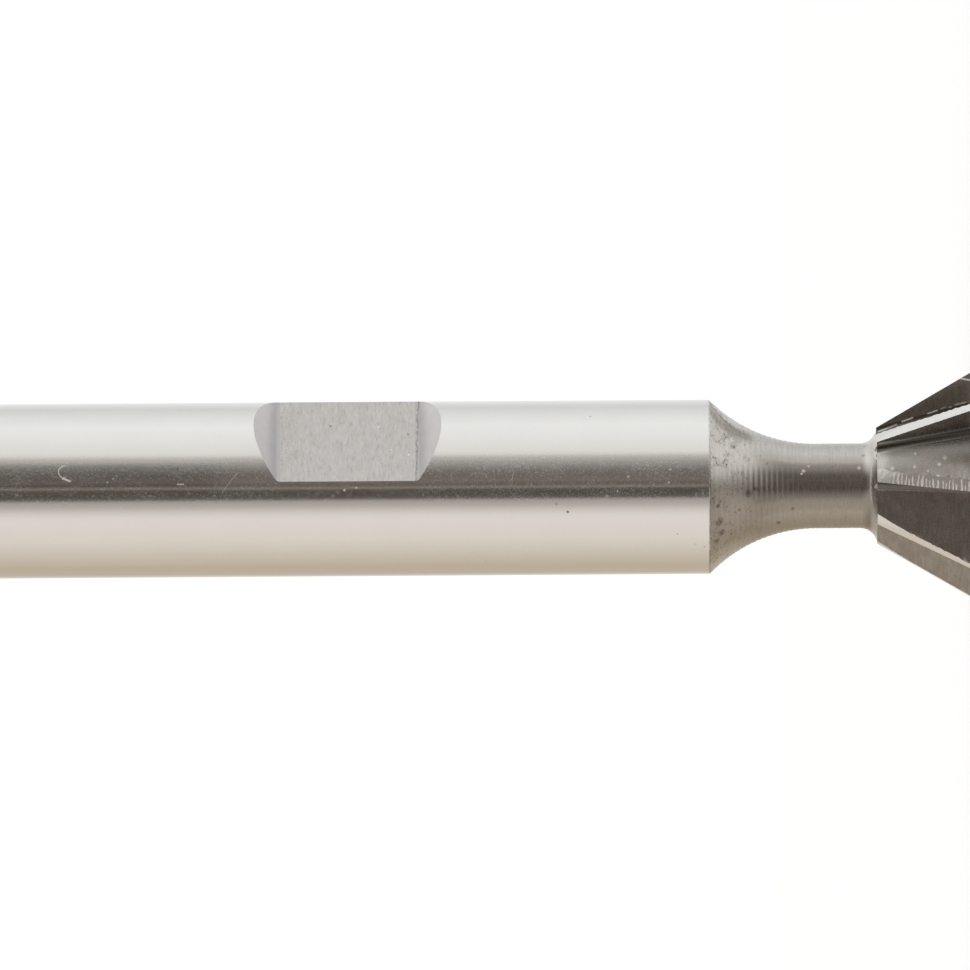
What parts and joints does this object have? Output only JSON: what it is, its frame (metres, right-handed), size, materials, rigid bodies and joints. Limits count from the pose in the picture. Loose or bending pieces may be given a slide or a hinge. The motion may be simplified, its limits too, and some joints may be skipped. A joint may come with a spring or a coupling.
{
  "type": "dovetail cutter",
  "caption": "Right-hand dovetail milling cutter with a straight side-lock shank, a swept neck and a flared toothed head.",
  "frame": {"origin": "on the spindle axis, in the plane of the teeth's outer corners that the tool stands on", "axes": "+Z along the spindle axis from the cutting end to the shank's end, with the side-lock flat facing -Y"},
  "size_m": [0.0126, 0.0126, 0.0542],
  "materials": {
    "tool_steel": "ground high-speed steel, bright on the shank and duller on the neck and in the gullets"
  },
  "bodies": {
    "root": {"dovetail_cutter": "tool_steel"}
  },
  "joints": []
}
